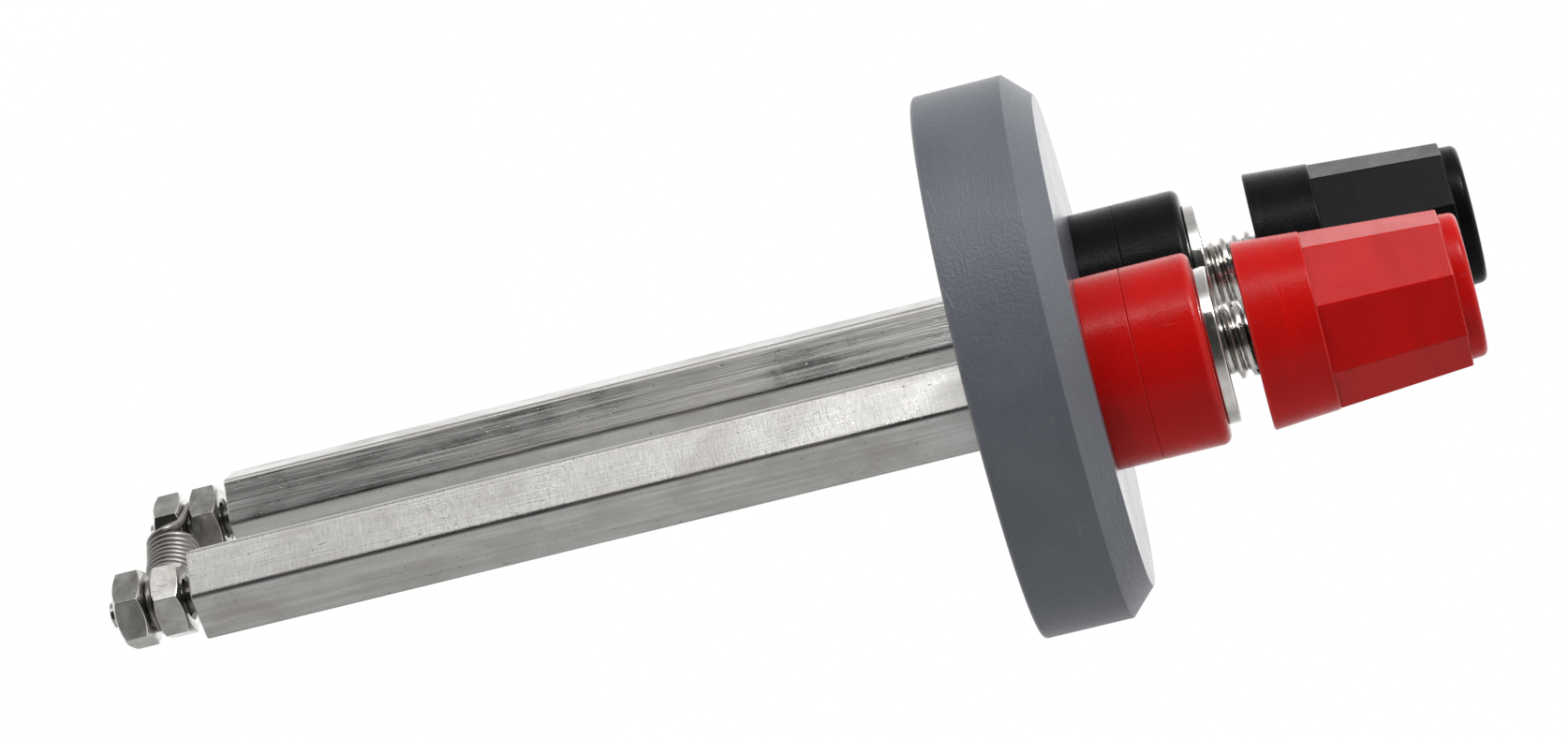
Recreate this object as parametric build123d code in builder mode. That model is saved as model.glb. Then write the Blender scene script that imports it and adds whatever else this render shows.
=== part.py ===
"""Laboratory electrode holder: a chamfered plastic lid with two binding posts on
top, two hexagonal conductor bars below and a wire coil clamped between them.

Millimetres. +Z is the lid's axis, towards the binding posts. The origin is the
centre of the lid's underside. The red side is at +X, the black side at -X.
"""
import os
from math import acos, atan2, cos, degrees, radians, sin, sqrt, tan

from build123d import *

# ---- lid -------------------------------------------------------------------
LID_RADIUS = 22.0
LID_THICKNESS = 9.3
LID_CHAMFER = 2.1
LID_EDGE_ROUND = 0.3
POST_SPACING = 19.0

# ---- posts: flange, threaded stem with a plug socket, and rear thread ------
POST_THREAD_DIAMETER = 4.0
POST_HOLE_CLEARANCE = 0.15
POST_ENGAGEMENT = 9.0
FLANGE_RADIUS = 6.15
FLANGE_HEIGHT = 1.1
FLANGE_EDGE_ROUND = 0.2
STEM_DIAMETER = 6.0
STEM_END_CHAMFER = 0.4
SOCKET_DIAMETER = 4.0
SOCKET_FLOOR = 3.0
SOCKET_LEAD_IN = 0.3
WIRE_HOLE_DIAMETER = 1.6
WIRE_HOLE_HEIGHT = 1.1

# ---- insulating collars between the lid and the flange ---------------------
COLLAR_RADIUS = 7.55
LOWER_COLLAR_HEIGHT = 3.5
UPPER_COLLAR_HEIGHT = 5.4
COLLAR_EDGE_ROUND = 0.7
SEAM_CHAMFER = 0.12

# ---- screw caps ------------------------------------------------------------
CAP_BASE_RADIUS = 7.4
CAP_BASE_BAND = 5.3
CAP_GRIP_LENGTH = 10.5
CAP_END_LIP = 1.3
CAP_HALF_ANGLE = 4.35
CAP_SIDES = 8
CAP_VERTEX_ANGLE = 20.0
CAP_END_ROUND = 0.9
CAP_END_WALL = 1.6
CAP_BORE_CLEARANCE = 0.5
STEM_TO_END_WALL = 0.9
PLUG_MOUTH_CLEARANCE = 0.5
INSERT_WALL = 2.0
INSERT_HEIGHT = 6.0
INSERT_RIM_INSET = 0.5
INSERT_RIM_HEIGHT = 0.3
INSERT_FIT_CLEARANCE = 0.05
THREAD_RUNNING_CLEARANCE = 0.05
RED_CAP_OPENING = 2.2
BLACK_CAP_OPENING = 4.2

# ---- conductor bars --------------------------------------------------------
BAR_ACROSS_FLATS = 7.0
BAR_LENGTH = 63.0
BAR_EDGE_ROUND = 0.15
BAR_END_CHAMFER = 0.1
RED_BAR_VERTEX = 45.0
BLACK_BAR_VERTEX = 52.0
HOLE_BOTTOM_SPACE = 1.0
THREAD_FIT_CLEARANCE = 0.02

# ---- studs and nuts at the bars' lower ends --------------------------------
TIP_STUD_DIAMETER = 3.0
TIP_STUD_ENGAGEMENT = 8.0
TIP_STUD_PROTRUSION = 0.75
TIP_STUD_END_ROUND = 0.6
NUT_ACROSS_FLATS = 5.5
NUT_HEIGHT = 2.4
NUT_RUNNING_CLEARANCE = 0.04
NUT_CHAMFER_ANGLE = 30.0
NUT_FACE_INSET = 0.15
INNER_NUT_GAP = 1.06
CLAMP_GAP = 0.72
RED_INNER_NUT_VERTEX = 38.0
RED_OUTER_NUT_VERTEX = 28.0
BLACK_INNER_NUT_VERTEX = 28.0
BLACK_OUTER_NUT_VERTEX = 15.0

# ---- wire coil clamped between the two studs -------------------------------
WIRE_DIAMETER = 0.6
HOOK_CLEARANCE = 0.05
HOOK_WRAP = 250.0
COIL_RADIUS = 2.2
COIL_END_GAP = 1.45
COIL_BOW_ANGLE = 26.0
COIL_TILT = 13.0
COIL_DROP = 0.95
COIL_SIDE_SHIFT = 0.5
LEAD_OVERLAP = 0.5

# ---- heights and radii worked out from the sizes above ----------------------
CAP_LENGTH = CAP_BASE_BAND + CAP_GRIP_LENGTH + CAP_END_LIP
STEM_HEIGHT = CAP_LENGTH - CAP_END_WALL - STEM_TO_END_WALL
COLLAR_TOP = LID_THICKNESS + LOWER_COLLAR_HEIGHT + UPPER_COLLAR_HEIGHT
FLANGE_TOP = COLLAR_TOP + FLANGE_HEIGHT
STEM_TOP = FLANGE_TOP + STEM_HEIGHT
INNER_NUT_TOP = -BAR_LENGTH - INNER_NUT_GAP
CLAMP_TOP = INNER_NUT_TOP - NUT_HEIGHT
CLAMP_BOTTOM = CLAMP_TOP - CLAMP_GAP
OUTER_NUT_BOTTOM = CLAMP_BOTTOM - NUT_HEIGHT
STUD_END = OUTER_NUT_BOTTOM - TIP_STUD_PROTRUSION
INSERT_RADIUS = STEM_DIAMETER / 2 + INSERT_WALL
INSERT_RIM_RADIUS = CAP_BASE_RADIUS - INSERT_RIM_INSET
NUT_FACE_RADIUS = NUT_ACROSS_FLATS / 2 - NUT_FACE_INSET
HEX_CORNER = 2 / sqrt(3)


def side_axis(side):
    """Vertical axis of one side's post: side is +1 for red, -1 for black."""
    return side * POST_SPACING / 2


def finish(part, name):
    part.label = name
    export_step(part, f"parts/{name}.step")


def make_lid():
    with BuildPart() as lid:
        with BuildSketch(Plane.XY):
            Circle(LID_RADIUS)
            with Locations((side_axis(1), 0), (side_axis(-1), 0)):
                Circle(POST_THREAD_DIAMETER / 2 + POST_HOLE_CLEARANCE, mode=Mode.SUBTRACT)
        extrude(amount=LID_THICKNESS)
        outer_edges = lid.edges().filter_by(GeomType.CIRCLE)
        rims = outer_edges.filter_by(lambda edge: edge.radius > LID_RADIUS / 2).sort_by(Axis.Z)
        chamfer(rims[-1], LID_CHAMFER)
        bottom_rim = lid.edges().filter_by(GeomType.CIRCLE).filter_by(
            lambda edge: edge.radius > LID_RADIUS / 2).sort_by(Axis.Z)[0]
        fillet(bottom_rim, LID_EDGE_ROUND)
    finish(lid.part, "lid")


def make_collar(name, side, bottom, height, rounded):
    """Insulating ring; the upper one has a rounded upper edge."""
    with BuildPart() as collar:
        with BuildSketch(Plane.XY.offset(bottom)):
            with Locations((side_axis(side), 0)):
                Circle(COLLAR_RADIUS)
                Circle(POST_THREAD_DIAMETER / 2 + POST_HOLE_CLEARANCE, mode=Mode.SUBTRACT)
        extrude(amount=height)
        rims = collar.edges().filter_by(GeomType.CIRCLE).filter_by(
            lambda edge: edge.radius > COLLAR_RADIUS / 2).sort_by(Axis.Z)
        if rounded:
            fillet(rims[-1], COLLAR_EDGE_ROUND)
            chamfer(collar.edges().filter_by(GeomType.CIRCLE).filter_by(
                lambda edge: edge.radius > COLLAR_RADIUS - SEAM_CHAMFER).sort_by(Axis.Z)[0],
                SEAM_CHAMFER)
        else:
            chamfer(rims[-1], SEAM_CHAMFER)
    finish(collar.part, name)


def make_post(name, side):
    """One turned metal piece: rear thread, flange and stem with its socket."""
    x = side_axis(side)
    with BuildPart() as post:
        with BuildSketch(Plane.XY.offset(-POST_ENGAGEMENT)):
            with Locations((x, 0)):
                Circle(POST_THREAD_DIAMETER / 2)
        extrude(amount=POST_ENGAGEMENT + COLLAR_TOP)
        with BuildSketch(Plane.XY.offset(COLLAR_TOP)):
            with Locations((x, 0)):
                Circle(FLANGE_RADIUS)
        extrude(amount=FLANGE_HEIGHT)
        fillet(post.edges().filter_by(GeomType.CIRCLE).filter_by(
            lambda edge: edge.radius > FLANGE_RADIUS - FLANGE_EDGE_ROUND), FLANGE_EDGE_ROUND)
        with BuildSketch(Plane.XY.offset(FLANGE_TOP)):
            with Locations((x, 0)):
                Circle(STEM_DIAMETER / 2)
        extrude(amount=STEM_HEIGHT)
        chamfer(post.edges().filter_by(GeomType.CIRCLE).sort_by(Axis.Z)[-1], STEM_END_CHAMFER)
        with BuildSketch(Plane.XY.offset(STEM_TOP)):
            with Locations((x, 0)):
                Circle(SOCKET_DIAMETER / 2)
        extrude(amount=SOCKET_FLOOR - STEM_HEIGHT, mode=Mode.SUBTRACT)
        chamfer(post.edges().filter_by(GeomType.CIRCLE).sort_by(Axis.Z)[-2:].sort_by(
            SortBy.RADIUS)[0], SOCKET_LEAD_IN)
        with BuildSketch(Plane.XZ.offset(-STEM_DIAMETER)):
            with Locations((x, FLANGE_TOP + WIRE_HOLE_HEIGHT)):
                Circle(WIRE_HOLE_DIAMETER / 2)
        extrude(amount=2 * STEM_DIAMETER, mode=Mode.SUBTRACT)
    finish(post.part, name)


def cap_radius(height):
    """Radius of the cap's cone at a height above its base."""
    return CAP_BASE_RADIUS - height * tan(radians(CAP_HALF_ANGLE))


def make_cap(name, side, opening):
    """Tapered cap: round band, eight-sided grip, round lip and a plug mouth."""
    x = side_axis(side)
    base = FLANGE_TOP + opening
    grip_low = base + CAP_BASE_BAND
    grip_high = grip_low + CAP_GRIP_LENGTH
    end = grip_high + CAP_END_LIP
    apothem = cos(radians(180 / CAP_SIDES))
    with BuildPart() as cap:
        with Locations((x, 0, base)):
            Cone(cap_radius(0), cap_radius(CAP_BASE_BAND), CAP_BASE_BAND,
                 align=(Align.CENTER, Align.CENTER, Align.MIN))
        for height in (grip_low, grip_high):
            with BuildSketch(Plane.XY.offset(height)):
                with Locations(Location((x, 0, 0), (0, 0, CAP_VERTEX_ANGLE))):
                    RegularPolygon(cap_radius(height - base), CAP_SIDES)
        loft()
        with Locations((x, 0, grip_high)):
            Cone(cap_radius(grip_high - base) * apothem, cap_radius(CAP_LENGTH) * apothem,
                 CAP_END_LIP, align=(Align.CENTER, Align.CENTER, Align.MIN))
        fillet(cap.edges().filter_by(GeomType.CIRCLE).sort_by(Axis.Z)[-1], CAP_END_ROUND)
        with BuildSketch(Plane.XY.offset(base)):
            with Locations((x, 0)):
                Circle(STEM_DIAMETER / 2 + CAP_BORE_CLEARANCE)
        extrude(amount=CAP_LENGTH - CAP_END_WALL, mode=Mode.SUBTRACT)
        with BuildSketch(Plane.XY.offset(base)):
            with Locations((x, 0)):
                Circle(INSERT_RADIUS + INSERT_FIT_CLEARANCE)
        extrude(amount=INSERT_HEIGHT + INSERT_FIT_CLEARANCE, mode=Mode.SUBTRACT)
        with BuildSketch(Plane.XY.offset(base)):
            with Locations((x, 0)):
                Circle(INSERT_RIM_RADIUS + INSERT_FIT_CLEARANCE)
        extrude(amount=INSERT_RIM_HEIGHT + INSERT_FIT_CLEARANCE, mode=Mode.SUBTRACT)
        with BuildSketch(Plane.XY.offset(end)):
            with Locations((x, 0)):
                Circle(SOCKET_DIAMETER / 2 + PLUG_MOUTH_CLEARANCE)
        extrude(amount=-2 * CAP_END_WALL, mode=Mode.SUBTRACT)
    finish(cap.part, name)


def make_cap_insert(name, side, opening):
    """Threaded metal bush in the cap's base, with a thin rim as its face."""
    x = side_axis(side)
    base = FLANGE_TOP + opening
    with BuildPart() as insert:
        with BuildSketch(Plane.XY.offset(base)):
            with Locations((x, 0)):
                Circle(INSERT_RIM_RADIUS)
        extrude(amount=INSERT_RIM_HEIGHT)
        with BuildSketch(Plane.XY.offset(base)):
            with Locations((x, 0)):
                Circle(INSERT_RADIUS)
        extrude(amount=INSERT_HEIGHT)
        with BuildSketch(Plane.XY.offset(base)):
            with Locations((x, 0)):
                Circle(STEM_DIAMETER / 2 + THREAD_RUNNING_CLEARANCE)
        extrude(amount=INSERT_HEIGHT, mode=Mode.SUBTRACT)
    finish(insert.part, name)


def make_bar(name, side, vertex_angle):
    """Hexagonal bar with a threaded hole in each end."""
    x = side_axis(side)
    with BuildPart() as bar:
        with BuildSketch(Plane.XY.offset(-BAR_LENGTH)) as section:
            with Locations(Location((x, 0, 0), (0, 0, vertex_angle))):
                RegularPolygon(BAR_ACROSS_FLATS / 2, 6, major_radius=False)
            fillet(section.vertices(), BAR_EDGE_ROUND)
        extrude(amount=BAR_LENGTH)
        chamfer(bar.faces().filter_by(Axis.Z).sort_by(Axis.Z)[0].outer_wire().edges(),
                BAR_END_CHAMFER)
        with BuildSketch(Plane.XY):
            with Locations((x, 0)):
                Circle(POST_THREAD_DIAMETER / 2 + THREAD_FIT_CLEARANCE)
        extrude(amount=-(POST_ENGAGEMENT + HOLE_BOTTOM_SPACE), mode=Mode.SUBTRACT)
        with BuildSketch(Plane.XY.offset(-BAR_LENGTH)):
            with Locations((x, 0)):
                Circle(TIP_STUD_DIAMETER / 2 + THREAD_FIT_CLEARANCE)
        extrude(amount=TIP_STUD_ENGAGEMENT + HOLE_BOTTOM_SPACE, mode=Mode.SUBTRACT)
    finish(bar.part, name)


def make_tip_stud(name, side):
    with BuildPart() as stud:
        with BuildSketch(Plane.XY.offset(STUD_END)):
            with Locations((side_axis(side), 0)):
                Circle(TIP_STUD_DIAMETER / 2)
        extrude(amount=TIP_STUD_ENGAGEMENT - BAR_LENGTH - STUD_END)
        fillet(stud.edges().filter_by(GeomType.CIRCLE).sort_by(Axis.Z)[0], TIP_STUD_END_ROUND)
    finish(stud.part, name)


def make_nut(name, side, bottom, vertex_angle):
    """Hexagon nut whose corners are turned off by a cone at both faces."""
    x = side_axis(side)
    corner = NUT_ACROSS_FLATS / 2 * HEX_CORNER
    turned = (corner - NUT_FACE_RADIUS) * tan(radians(NUT_CHAMFER_ANGLE))
    with BuildPart() as nut:
        with BuildSketch(Plane.XY.offset(bottom)):
            with Locations(Location((x, 0, 0), (0, 0, vertex_angle))):
                RegularPolygon(corner, 6)
        extrude(amount=NUT_HEIGHT)
        with BuildSketch(Plane.XZ):
            with BuildLine():
                Polyline(
                    (x, bottom),
                    (x + NUT_FACE_RADIUS, bottom),
                    (x + corner, bottom + turned),
                    (x + corner, bottom + NUT_HEIGHT - turned),
                    (x + NUT_FACE_RADIUS, bottom + NUT_HEIGHT),
                    (x, bottom + NUT_HEIGHT),
                    close=True,
                )
            make_face()
        revolve(axis=Axis((x, 0, 0), (0, 0, 1)), mode=Mode.INTERSECT)
        with BuildSketch(Plane.XY.offset(bottom)):
            with Locations((x, 0)):
                Circle(TIP_STUD_DIAMETER / 2 + NUT_RUNNING_CLEARANCE)
        extrude(amount=NUT_HEIGHT, mode=Mode.SUBTRACT)
    finish(nut.part, name)


def coil_half_length():
    """Half the straight distance between the coil's ends."""
    return POST_SPACING / 2 - NUT_ACROSS_FLATS / 2 * HEX_CORNER - COIL_END_GAP


def tilted(along, across):
    """(X, Y) of a point given along and across the coil's tilted chord."""
    tilt = radians(COIL_TILT)
    return (along * cos(tilt) - across * sin(tilt),
            along * sin(tilt) + across * cos(tilt) + COIL_SIDE_SHIFT)


def lead_route(side):
    """Centre line of one lead: straight from the coil's end, then a hook round the stud.

    The two leads leave opposite sides of the coil and hook round in opposite turns.
    """
    turn_radius = COIL_RADIUS - WIRE_DIAMETER / 2
    offset = side * sqrt(turn_radius ** 2 - COIL_DROP ** 2)
    bow = radians(COIL_BOW_ANGLE)
    along = coil_half_length() + offset * sin(bow) - LEAD_OVERLAP * cos(bow)
    start_x, start_y = tilted(side * along, offset * cos(bow) + LEAD_OVERLAP * sin(bow))
    start_x *= side
    hook_radius = TIP_STUD_DIAMETER / 2 + HOOK_CLEARANCE + WIRE_DIAMETER / 2
    axis_x = POST_SPACING / 2
    reach = sqrt((start_x - axis_x) ** 2 + start_y ** 2)
    bearing = degrees(atan2(start_y, start_x - axis_x))
    touch = bearing - side * degrees(acos(hook_radius / reach))
    wrap = -side * HOOK_WRAP
    with BuildLine(Plane.XY.offset((CLAMP_TOP + CLAMP_BOTTOM) / 2)) as route:
        Line(
            (side * start_x, start_y),
            (side * (axis_x + hook_radius * cos(radians(touch))),
             hook_radius * sin(radians(touch))),
        )
        ThreePointArc(
            (side * (axis_x + hook_radius * cos(radians(touch))),
             hook_radius * sin(radians(touch))),
            (side * (axis_x + hook_radius * cos(radians(touch + wrap / 2))),
             hook_radius * sin(radians(touch + wrap / 2))),
            (side * (axis_x + hook_radius * cos(radians(touch + wrap))),
             hook_radius * sin(radians(touch + wrap))),
        )
    return route.line


def make_coil():
    """Close-wound coil as a bowed tube, with a wire lead hooked round each stud."""
    half = coil_half_length()
    sag = half / sin(radians(COIL_BOW_ANGLE)) * (1 - cos(radians(COIL_BOW_ANGLE)))
    height = (CLAMP_TOP + CLAMP_BOTTOM) / 2 - COIL_DROP
    with BuildPart() as coil:
        with BuildLine(Plane.XY.offset(height)) as bow:
            ThreePointArc(tilted(-half, 0), tilted(0, sag), tilted(half, 0))
        with BuildSketch(Plane(origin=bow.line @ 0, z_dir=bow.line % 0)):
            Circle(COIL_RADIUS)
            Circle(COIL_RADIUS - WIRE_DIAMETER, mode=Mode.SUBTRACT)
        sweep(path=bow.line)
        for side in (1, -1):
            lead = lead_route(side)
            with BuildSketch(Plane(origin=lead @ 0, z_dir=lead % 0)):
                Circle(WIRE_DIAMETER / 2)
            sweep(path=lead)
    finish(coil.part, "wire_coil")


def make_side(colour, side, opening, bar_vertex, inner_vertex, outer_vertex):
    """Everything on one side, from the cap down to the outer nut."""
    make_collar(f"{colour}_lower_collar", side, LID_THICKNESS, LOWER_COLLAR_HEIGHT, False)
    make_collar(f"{colour}_upper_collar", side, LID_THICKNESS + LOWER_COLLAR_HEIGHT,
                UPPER_COLLAR_HEIGHT, True)
    make_post(f"{colour}_post", side)
    make_cap(f"{colour}_cap", side, opening)
    make_cap_insert(f"{colour}_cap_insert", side, opening)
    make_bar(f"{colour}_side_bar", side, bar_vertex)
    make_tip_stud(f"{colour}_side_tip_stud", side)
    make_nut(f"{colour}_side_inner_nut", side, CLAMP_TOP, inner_vertex)
    make_nut(f"{colour}_side_outer_nut", side, OUTER_NUT_BOTTOM, outer_vertex)


os.makedirs("parts", exist_ok=True)
make_lid()
make_side("red", 1, RED_CAP_OPENING, RED_BAR_VERTEX,
          RED_INNER_NUT_VERTEX, RED_OUTER_NUT_VERTEX)
make_side("black", -1, BLACK_CAP_OPENING, BLACK_BAR_VERTEX,
          BLACK_INNER_NUT_VERTEX, BLACK_OUTER_NUT_VERTEX)
make_coil()
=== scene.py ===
import math
import random

import bmesh
import bpy
from mathutils import Matrix, Vector


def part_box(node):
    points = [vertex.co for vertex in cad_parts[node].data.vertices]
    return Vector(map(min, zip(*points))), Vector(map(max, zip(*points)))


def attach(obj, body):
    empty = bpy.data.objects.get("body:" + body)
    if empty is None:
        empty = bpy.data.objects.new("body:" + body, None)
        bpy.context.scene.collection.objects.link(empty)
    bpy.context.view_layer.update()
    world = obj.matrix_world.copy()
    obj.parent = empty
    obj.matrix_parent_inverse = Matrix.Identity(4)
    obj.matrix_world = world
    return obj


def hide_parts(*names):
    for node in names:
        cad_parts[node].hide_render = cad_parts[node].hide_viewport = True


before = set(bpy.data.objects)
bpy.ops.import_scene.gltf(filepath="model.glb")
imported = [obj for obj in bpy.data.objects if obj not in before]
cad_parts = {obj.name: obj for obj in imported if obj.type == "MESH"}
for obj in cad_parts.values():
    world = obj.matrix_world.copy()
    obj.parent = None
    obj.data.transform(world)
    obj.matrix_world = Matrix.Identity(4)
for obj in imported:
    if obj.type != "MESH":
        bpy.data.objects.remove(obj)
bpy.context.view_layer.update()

# Electrode holder: lid, two binding posts, two hexagonal bars and a wire coil.
# Shapes are worked out in millimetres and turned into metres as they are made.

MM = 0.001
TAU = 2 * math.pi


def box_mm(node):
    """Lowest and highest corner of a CAD node, in millimetres."""
    low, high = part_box(node)
    return Vector(low) / MM, Vector(high) / MM


LID_RADIUS, LID_TOP = box_mm("lid")[1].x, box_mm("lid")[1].z
POST_X = (box_mm("red_post")[0].x + box_mm("red_post")[1].x) / 2
COLLAR_SPLIT = box_mm("red_lower_collar")[1].z
COLLAR_TOP = box_mm("red_upper_collar")[1].z
COLLAR_RADIUS = box_mm("red_upper_collar")[1].x - POST_X
POST_BOTTOM, STEM_TOP = box_mm("red_post")[0].z, box_mm("red_post")[1].z
FLANGE_RADIUS = box_mm("red_post")[1].x - POST_X
BAR_BOTTOM = box_mm("red_side_bar")[0].z
STUD_TOP, STUD_END = box_mm("red_side_tip_stud")[1].z, box_mm("red_side_tip_stud")[0].z
INNER_NUT_LOW, INNER_NUT_HIGH = (c.z for c in box_mm("red_side_inner_nut"))
OUTER_NUT_LOW, OUTER_NUT_HIGH = (c.z for c in box_mm("red_side_outer_nut"))

# Binding posts
FLANGE_HEIGHT = 1.1
FLANGE_TOP = COLLAR_TOP + FLANGE_HEIGHT
STEM_RADIUS = 3.0
STEM_PITCH = 1.0
SOCKET_RADIUS = 2.0
SOCKET_FLOOR = FLANGE_TOP + 3.0
CROSS_HOLE_RADIUS = 0.8
CROSS_HOLE_Z = FLANGE_TOP + 1.1
POST_BORE = 2.15
REAR_THREAD = 2.0

# Caps and the metal inserts in them; heights are from the cap's lower face
CAP_BASE_RADIUS = 7.4
CAP_BAND = 5.3
CAP_GRIP_TOP = 15.8
CAP_LENGTH = 17.1
CAP_TAPER = math.tan(math.radians(4.35))
CAP_SIDES = 8
CAP_VERTEX = 20.0
CAP_BORE = 3.5
CAP_MOUTH_RADIUS = 2.5
CAP_MOUTH_DEPTH = 1.6
INSERT_RADIUS = 5.0
INSERT_HEIGHT = 6.0
INSERT_FLANGE_RADIUS = 6.9
INSERT_FLANGE_HEIGHT = 0.3
INSERT_CLEARANCE = 0.05

# Bars, studs and nuts
BAR_FLATS = 7.0
BAR_TIP_BORE = 1.52
BAR_REAR_BORE = 2.02
NUT_FLATS = 5.5
NUT_FACE = 2.6
STUD_PITCH = 0.5

# Wire coil; bow, tilt and hook wrap are in degrees
WIRE = 0.3
COIL_RADIUS = 2.2
COIL_END_GAP = 1.45
COIL_BOW = 26
COIL_TILT = 13
COIL_DROP = 0.95
COIL_SIDE_SHIFT = 0.5
HOOK_RADIUS = 1.85
HOOK_WRAP = 250

# Sharp edges of the meshes, in degrees, and the bends, in radians, that edge wear and painted shade in
# hollows start and end at
SHARP = 35.0
WEAR_AND_SHADE_START, WEAR_AND_SHADE_END = 0.14, 0.49


# ---- mesh making -----------------------------------------------------------

def even_angles(count):
    return [TAU * i / count for i in range(count)]


def corner_angles(sides, vertex, half_corner, between):
    """Angles round a polygon, close together at its corners; vertex and half_corner in degrees."""
    reach = 1.35
    near = (-reach, -1.0, -0.66, -0.33, 0.0, 0.33, 0.66, 1.0, reach)
    step = 360 / sides
    angles = []
    for side in range(sides):
        centre = vertex + side * step
        angles += [centre + half_corner * n for n in near]
        start, gap = centre + reach * half_corner, step - 2 * reach * half_corner
        angles += [start + gap * k / (between + 1) for k in range(1, between + 1)]
    return [math.radians(a) for a in angles]


def polygon_radius(angle, sides, vertex, apothem, corner):
    """Polar radius of a regular polygon with rounded corners."""
    half = math.pi / sides
    offset = (angle - math.radians(vertex) + half) % (2 * half) - half
    centre = (apothem - corner) / math.cos(half)
    tangent = math.atan2(corner * math.sin(half), centre + corner * math.cos(half))
    if abs(offset) >= tangent:
        return apothem / math.cos(half - abs(offset))
    return centre * math.cos(offset) + math.sqrt(corner ** 2 - (centre * math.sin(offset)) ** 2)


def corner_spread(sides, apothem, corner):
    """Half the angle, in degrees, that a rounded corner takes up from the axis."""
    half = math.pi / sides
    centre = (apothem - corner) / math.cos(half)
    return math.degrees(math.atan2(corner * math.sin(half), centre + corner * math.cos(half)))


def ring(x, z, radius, angles):
    """Points round a vertical axis; radius is a number or a function of the angle."""
    if not callable(radius):
        if radius == 0:
            return [(x, 0.0, z)]
        return [(x + radius * math.cos(a), radius * math.sin(a), z) for a in angles]
    return [(x + radius(a) * math.cos(a), radius(a) * math.sin(a), z) for a in angles]


def skin(rings, closed):
    """Vertices and faces over rings; a ring of one point is a pole."""
    verts, faces, starts = [], [], []
    for points in rings:
        starts.append(len(verts))
        verts += points
    pairs = [(i, i + 1) for i in range(len(rings) - 1)]
    if closed:
        pairs.append((len(rings) - 1, 0))
    for a, b in pairs:
        na, nb = len(rings[a]), len(rings[b])
        for i in range(max(na, nb)):
            j = (i + 1) % max(na, nb)
            if na == 1:
                faces.append((starts[a], starts[b] + i, starts[b] + j))
            elif nb == 1:
                faces.append((starts[a] + i, starts[b], starts[a] + j))
            else:
                faces.append((starts[a] + i, starts[b] + i, starts[b] + j, starts[a] + j))
    return verts, faces


def rounded(corners, steps=4):
    """(radius, z) points for corners given as (radius, z, rounding), with a point beside each arc."""
    points = []
    for i, (r, z, rounding) in enumerate(corners):
        here = Vector((r, z))
        if rounding == 0:
            points.append((r, z))
            continue
        before = (Vector(corners[i - 1][:2]) - here).normalized()
        after = (Vector(corners[(i + 1) % len(corners)][:2]) - here).normalized()
        half = before.angle(after) / 2
        tangent = rounding / math.tan(half)
        centre = here + (before + after).normalized() * rounding / math.sin(half)
        hold = tangent + 0.3 * rounding
        start, end = here + before * tangent - centre, here + after * tangent - centre
        sweep = start.angle(end)
        points.append(tuple(here + before * hold))
        for k in range(steps + 1):
            t = k / steps
            mixed = start * math.sin((1 - t) * sweep) + end * math.sin(t * sweep)
            points.append(tuple(centre + mixed / math.sin(sweep)))
        points.append(tuple(here + after * hold))
    return points


def edge_wear_and_shade(mesh):
    """Stores how convex (above 0) or concave (below 0) the surface is at each vertex; convex bends give
    edge wear, concave ones the painted shade in metal hollows.
    """
    bm = bmesh.new()
    bm.from_mesh(mesh)
    values = []
    for vert in bm.verts:
        bend = [e.calc_face_angle_signed(0) for e in vert.link_edges if len(e.link_faces) == 2]
        most = max(bend, key=abs, default=0)
        size = min(1, max(0, (abs(most) - WEAR_AND_SHADE_START) / (WEAR_AND_SHADE_END - WEAR_AND_SHADE_START)))
        values.append(math.copysign(size, most))
    bm.free()
    attribute = mesh.attributes.new("wear_and_shade", "FLOAT", "POINT")
    attribute.data.foreach_set("value", values)


def make_object(name, verts, faces, sharp=SHARP):
    mesh = bpy.data.meshes.new(name)
    mesh.from_pydata([Vector(v) * MM for v in verts], [], faces)
    bm = bmesh.new()
    bm.from_mesh(mesh)
    bmesh.ops.recalc_face_normals(bm, faces=bm.faces)
    bm.to_mesh(mesh)
    bm.free()
    mesh.shade_smooth()
    mesh.set_sharp_from_angle(angle=math.radians(sharp))
    obj = bpy.data.objects.new(name, mesh)
    bpy.context.scene.collection.objects.link(obj)
    return obj


def cut(obj, cutters):
    """Takes the cutters away from obj and removes them."""
    for cutter in cutters:
        modifier = obj.modifiers.new("cut", "BOOLEAN")
        modifier.operation = "DIFFERENCE"
        modifier.solver = "EXACT"
        modifier.object = cutter
    graph = bpy.context.evaluated_depsgraph_get()
    mesh = bpy.data.meshes.new_from_object(obj.evaluated_get(graph))
    obj.modifiers.clear()
    old, obj.data = obj.data, mesh
    bpy.data.meshes.remove(old)
    mesh.name = obj.name
    mesh.shade_smooth()
    mesh.set_sharp_from_angle(angle=math.radians(SHARP))
    for cutter in cutters:
        bpy.data.objects.remove(cutter)


def declare(obj, body, slot, material, *nodes):
    edge_wear_and_shade(obj.data)
    obj.data.materials.clear()
    obj.data.materials.append(material)
    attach(obj, body)
    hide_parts(*nodes)


# ---- materials -------------------------------------------------------------

def node(tree, kind, inputs=None, **settings):
    made = tree.nodes.new(kind)
    for key, value in settings.items():
        setattr(made, key, value)
    for key, value in (inputs or {}).items():
        if isinstance(value, bpy.types.NodeSocket):
            tree.links.new(value, made.inputs[key])
        else:
            made.inputs[key].default_value = value
    return made


def look(name, **constants):
    """A material with one Principled shader; constants go straight on its sockets."""
    material = bpy.data.materials.new(name)
    material.use_nodes = True
    tree = material.node_tree
    tree.nodes.clear()
    shader = node(tree, "ShaderNodeBsdfPrincipled")
    for key, value in constants.items():
        shader.inputs[key.replace("_", " ")].default_value = value
    output = node(tree, "ShaderNodeOutputMaterial")
    tree.links.new(shader.outputs["BSDF"], output.inputs["Surface"])
    return material, tree, shader


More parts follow.
